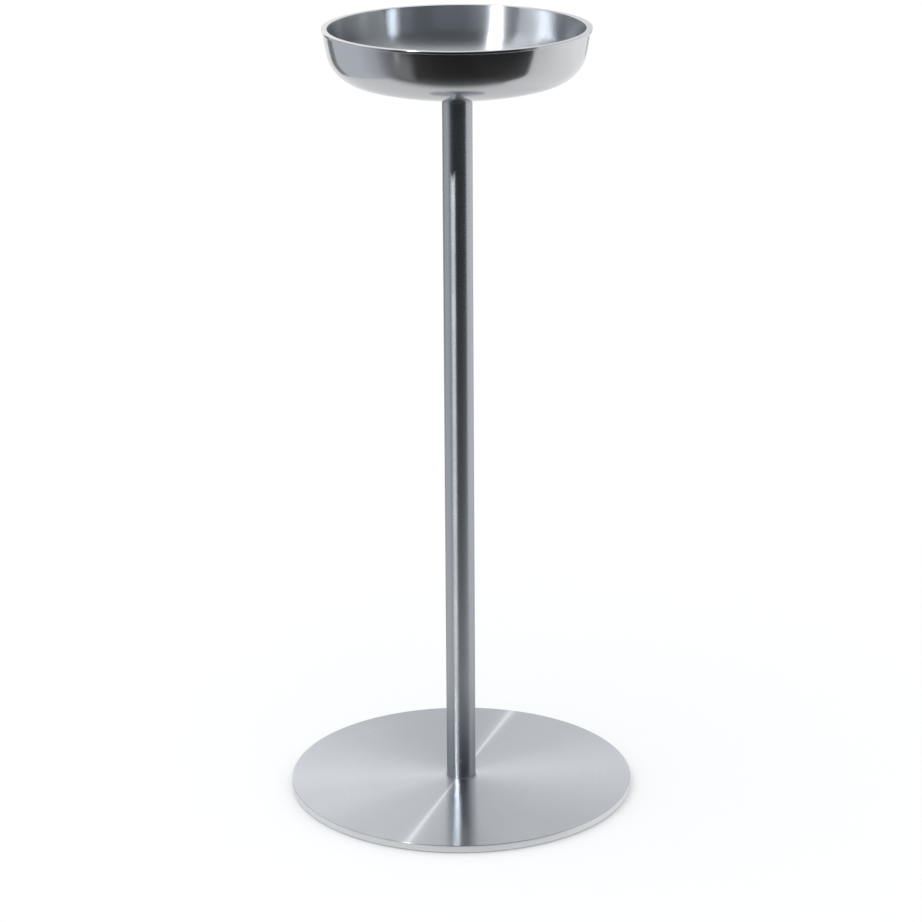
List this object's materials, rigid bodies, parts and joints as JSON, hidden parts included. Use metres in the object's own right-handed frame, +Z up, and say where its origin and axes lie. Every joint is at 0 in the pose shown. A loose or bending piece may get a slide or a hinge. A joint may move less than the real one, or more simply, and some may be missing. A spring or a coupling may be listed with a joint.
{
  "type": "champagne bucket stand",
  "caption": "Free-standing stand with a round flat base, a slim tube column and a shallow round dish with a flat rim that holds a drinks bucket at table height.",
  "frame": {"origin": "on the floor, under the column's axis", "axes": "+Z up along the column's axis; +X and +Y level, with -Y towards the viewer of the source picture"},
  "size_m": [0.295, 0.295, 0.663],
  "materials": {
    "plate_steel": "stainless steel, turned in fine circles",
    "tube_steel": "stainless steel, polished with faint rings",
    "dish_steel": "stainless steel, mirror polished outside and satin inside",
    "disc_steel": "stainless steel, satin",
    "plug_steel": "plain turned steel",
    "screw_steel": "stainless steel, plain",
    "pad_rubber": "matt black rubber",
    "seal_rubber": "matt dark grey rubber",
    "washer_plastic": "thin milky plastic"
  },
  "bodies": {
    "root": {"base_plate": "plate_steel", "foot_pad_1": "pad_rubber", "foot_pad_2": "pad_rubber", "foot_pad_3": "pad_rubber", "foot_pad_4": "pad_rubber", "foot_pad_5": "pad_rubber", "foot_pad_6": "pad_rubber", "base_screw": "screw_steel", "foot_washer": "washer_plastic", "foot_plug": "plug_steel", "column_tube": "tube_steel", "head_plug": "plug_steel", "head_collar": "tube_steel", "seat_gasket": "seal_rubber", "dish": "dish_steel", "dish_seal": "seal_rubber", "clamp_disc": "disc_steel", "dish_screw": "screw_steel"}
  },
  "joints": []
}
